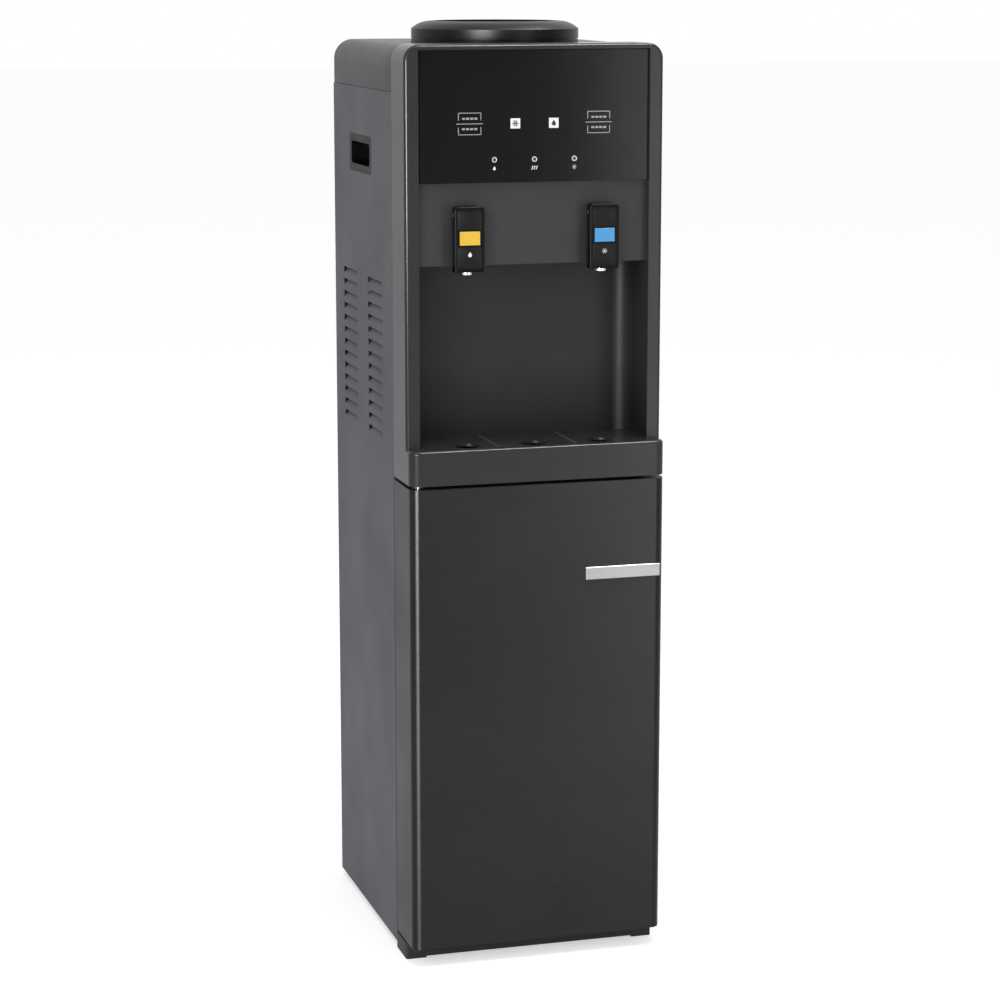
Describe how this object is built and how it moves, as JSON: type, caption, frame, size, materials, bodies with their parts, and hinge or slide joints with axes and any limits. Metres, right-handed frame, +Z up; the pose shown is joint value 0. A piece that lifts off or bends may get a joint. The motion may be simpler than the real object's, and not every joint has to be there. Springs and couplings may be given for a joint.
{
  "type": "water dispenser",
  "caption": "Floor-standing bottle water dispenser: tall steel cabinet with a bottle collar, hot and cold push taps over a drip-tray alcove, and a hinged door on a lower store.",
  "frame": {"origin": "on the floor, under the middle of the overall box", "axes": "+Z up; the door and taps face -Y; +X is to the right seen from the front, on the handle's side"},
  "size_m": [0.31, 0.3816, 1.109],
  "materials": {
    "side_steel": "satin grey paint on steel sheet",
    "grey_plastic": "satin dark grey moulding",
    "black_plastic": "matt black moulding",
    "black_gloss": "polished black",
    "white_plastic": "natural white moulding",
    "brushed_dark": "dark steel brushed along X",
    "silver": "silver anodised",
    "gasket": "soft grey extrusion with a magnet strip",
    "bare_steel": "bare stainless steel",
    "black_steel": "black enamel on steel",
    "zinc_steel": "zinc-coated steel sheet",
    "chrome": "plated",
    "lens": "clear light pipe",
    "yellow": "yellow moulding",
    "blue": "light blue moulding",
    "foam": "expanded foam",
    "hose": "milky silicone hose",
    "black_rubber": "black rubber",
    "copper": "drawn copper tube",
    "board": "printed circuit board",
    "red": "red moulding",
    "green": "green moulding"
  },
  "bodies": {
    "cabinet": {"base_frame": "black_plastic", "feet": "grey_plastic", "side_panel_left": "side_steel", "side_panel_right": "side_steel", "hand_grips": "grey_plastic", "top_cover": "black_gloss", "front_fascia": "grey_plastic", "control_panel": "black_gloss", "indicator_lenses": "lens", "tap_panel": "grey_plastic", "alcove_liner": "grey_plastic", "cabinet_front_frame": "side_steel", "cabinet_liner": "white_plastic", "cabinet_shelf": "white_plastic", "upper_hinge_pin": "bare_steel", "lower_hinge_bracket": "black_steel", "hot_tap_body": "black_plastic", "hot_tap_nozzle": "chrome", "hot_tap_spring": "bare_steel", "cold_tap_body": "black_plastic", "cold_tap_nozzle": "chrome", "cold_tap_spring": "bare_steel", "tap_pivot_pins": "bare_steel", "cold_tank": "bare_steel", "cold_tank_insulation": "foam", "tank_bridge": "zinc_steel", "tank_deck": "zinc_steel", "hot_tank": "bare_steel", "hot_tank_jacket": "foam", "water_pipes": "hose", "condenser_tube": "black_steel", "condenser_wires": "black_steel", "rear_panel": "zinc_steel", "rear_screws": "bare_steel", "compressor": "black_steel", "compressor_mounts": "black_rubber", "refrigerant_pipes": "copper", "control_board": "board", "switch_housings": "black_plastic", "cord_inlet": "black_plastic"},
    "door": {"door_shell": "grey_plastic", "door_skin": "brushed_dark", "door_liner": "white_plastic", "door_gasket": "gasket", "door_handle": "silver", "hinge_bushes": "white_plastic"},
    "hot_lever": {"hot_tap_lever": "black_gloss"},
    "hot_lock": {"hot_lock_button": "yellow"},
    "hot_plunger": {"hot_tap_plunger": "white_plastic"},
    "cold_lever": {"cold_tap_lever": "black_gloss", "cold_tap_insert": "blue"},
    "cold_plunger": {"cold_tap_plunger": "white_plastic"},
    "drip_tray": {"drip_grille": "black_plastic", "drip_basin": "black_plastic"},
    "bottle_seat": {"bottle_collar": "black_gloss", "seat_funnel": "black_plastic", "feed_spike": "white_plastic"},
    "heating_switch": {"heating_rocker": "red"},
    "cooling_switch": {"cooling_rocker": "green"},
    "drain_cap": {"drain_plug": "black_rubber"}
  },
  "joints": [
    {"name": "door_hinge", "type": "hinge", "parent": "cabinet", "child": "door", "pos_m": [-0.141, -0.16725, 0.301], "axis": [0, 0, -1], "range_deg": [0, 110]},
    {"name": "hot_lever_pivot", "type": "hinge", "parent": "cabinet", "child": "hot_lever", "pos_m": [-0.081, -0.16825, 0.893], "axis": [1, 0, 0], "range_deg": [0, 4.5], "stiffness_Nm_per_rad": 1.5, "springref_deg": -2.86},
    {"name": "hot_plunger_slide", "type": "slide", "parent": "cabinet", "child": "hot_plunger", "axis": [0, 1, 0], "range_m": [0, 0.004], "deforming": ["hot_tap_spring"]},
    {"name": "hot_lock_slide", "type": "slide", "parent": "hot_lever", "child": "hot_lock", "axis": [0, 1, 0], "range_m": [0, 0.002], "stiffness_N_per_m": 400, "springref_m": -0.001},
    {"name": "cold_lever_pivot", "type": "hinge", "parent": "cabinet", "child": "cold_lever", "pos_m": [0.081, -0.16825, 0.893], "axis": [1, 0, 0], "range_deg": [0, 4.5], "stiffness_Nm_per_rad": 1.5, "springref_deg": -2.86},
    {"name": "cold_plunger_slide", "type": "slide", "parent": "cabinet", "child": "cold_plunger", "axis": [0, 1, 0], "range_m": [0, 0.004], "deforming": ["cold_tap_spring"]},
    {"name": "drip_tray_lift", "type": "slide", "parent": "cabinet", "child": "drip_tray", "axis": [0, 0, 1], "range_m": [0, 0.045]},
    {"name": "bottle_seat_lift", "type": "slide", "parent": "cabinet", "child": "bottle_seat", "axis": [0, 0, 1], "range_m": [0, 0.12]},
    {"name": "heating_rocker_tilt", "type": "hinge", "parent": "cabinet", "child": "heating_switch", "pos_m": [-0.018, 0.16375, 0.9], "axis": [-1, 0, 0], "range_deg": [0, 16]},
    {"name": "cooling_rocker_tilt", "type": "hinge", "parent": "cabinet", "child": "cooling_switch", "pos_m": [0.018, 0.16375, 0.9], "axis": [-1, 0, 0], "range_deg": [0, 16]},
    {"name": "drain_plug_pull", "type": "slide", "parent": "cabinet", "child": "drain_cap", "axis": [0, 1, 0], "range_m": [0, 0.03]}
  ],
  "couplings": [
    {"joint": "hot_plunger_slide", "follows": "hot_lever_pivot", "m_per_rad": 0.045},
    {"joint": "cold_plunger_slide", "follows": "cold_lever_pivot", "m_per_rad": 0.045}
  ]
}
